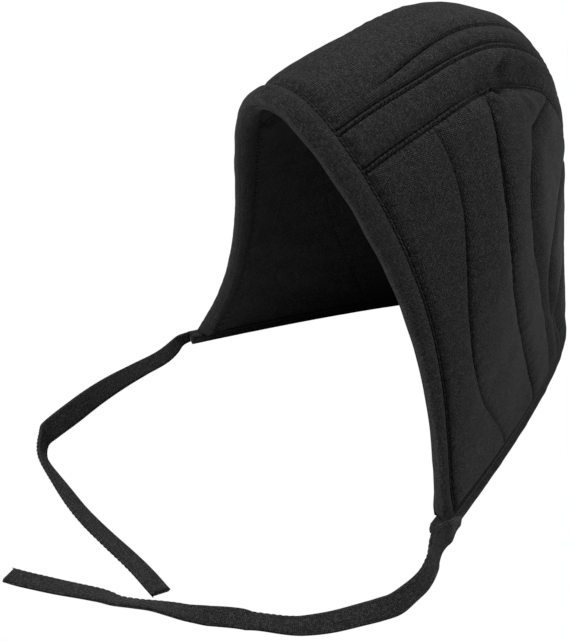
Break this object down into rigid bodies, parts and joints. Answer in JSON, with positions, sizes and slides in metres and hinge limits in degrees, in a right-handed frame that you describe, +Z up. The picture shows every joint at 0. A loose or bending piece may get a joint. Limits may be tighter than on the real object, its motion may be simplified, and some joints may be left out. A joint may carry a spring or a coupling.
{
  "type": "arming cap",
  "caption": "Padded quilted cloth cap, open at the face and neck, with a padded face band, a bound neck rim and loose flat ties.",
  "frame": {"origin": "middle of the cap's bounding box at the level of the table, without the ties", "axes": "+Z up, -Y out of the face opening, +X to the wearer's left"},
  "size_m": [0.2632, 0.4298, 0.2329],
  "materials": {
    "quilted_canvas": "matte plain weave cotton canvas, quilted",
    "band_canvas": "matte plain weave cotton canvas over padding",
    "canvas_tape": "matte folded canvas binding",
    "tie_tape": "matte folded canvas tape, topstitched"
  },
  "bodies": {
    "root": {"crown_panel": "quilted_canvas", "strip_left": "quilted_canvas", "strip_right": "quilted_canvas", "side_panel_left": "quilted_canvas", "side_panel_right": "quilted_canvas", "face_band": "band_canvas", "neck_binding": "canvas_tape", "tie_left": "tie_tape", "tie_right": "tie_tape"}
  },
  "joints": []
}
